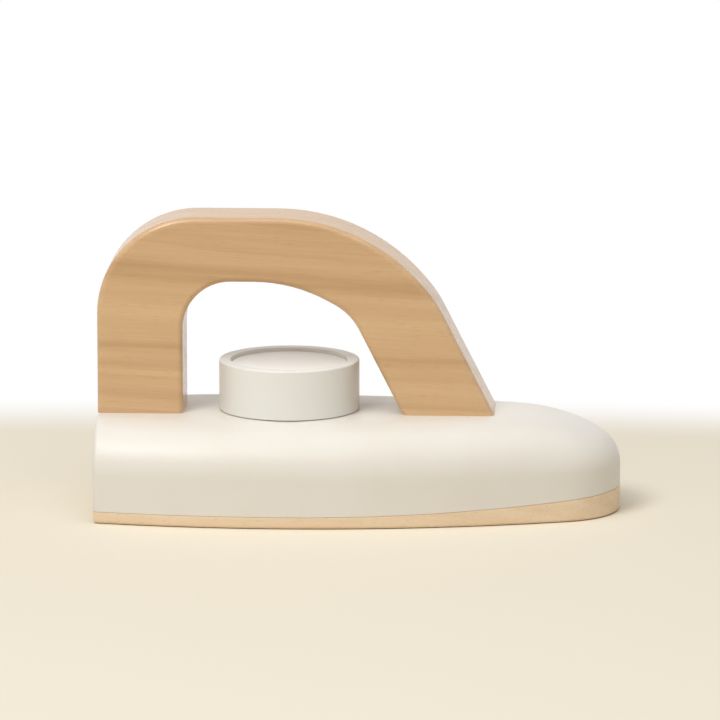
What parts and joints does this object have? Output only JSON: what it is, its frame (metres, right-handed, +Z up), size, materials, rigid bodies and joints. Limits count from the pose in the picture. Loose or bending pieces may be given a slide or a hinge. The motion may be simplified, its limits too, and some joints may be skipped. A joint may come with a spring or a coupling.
{
  "type": "toy iron",
  "caption": "Wooden pretend-play clothes iron: white painted boat-shaped body on a bare wooden soleplate, arched wooden handle with a slanted front leg, and a round white dial that turns.",
  "frame": {"origin": "centre of the footprint's box, on the plane that the soleplate stands on", "axes": "+X from the heel to the nose, +Y to the left of the iron's travel, +Z up"},
  "size_m": [0.1356, 0.06, 0.0772],
  "materials": {
    "body_paint": "satin off-white paint on solid wood",
    "dial_paint": "satin off-white paint on turned wood",
    "handle_wood": "clear matt oil on honey-coloured solid wood",
    "sole_wood": "bare sanded wood",
    "dowel_wood": "bare beech",
    "zinc_steel": "zinc plated",
    "nylon": "moulded",
    "glide_felt": "pressed felt"
  },
  "bodies": {
    "iron": {"painted_body": "body_paint", "soleplate": "sole_wood", "handle": "handle_wood", "rear_dowel": "dowel_wood", "front_dowel": "dowel_wood", "handle_screws": "zinc_steel", "soleplate_screws": "zinc_steel", "knob_screw": "zinc_steel", "knob_washer": "zinc_steel", "knob_sleeve": "nylon", "glide_washer": "glide_felt"},
    "dial": {"knob": "dial_paint", "knob_cap": "dial_paint"}
  },
  "joints": [
    {"name": "dial_turn", "type": "hinge", "parent": "iron", "child": "dial", "pos_m": [-0.01841, 0, 0.0328], "axis": [0, 0, 1], "continuous": true}
  ]
}
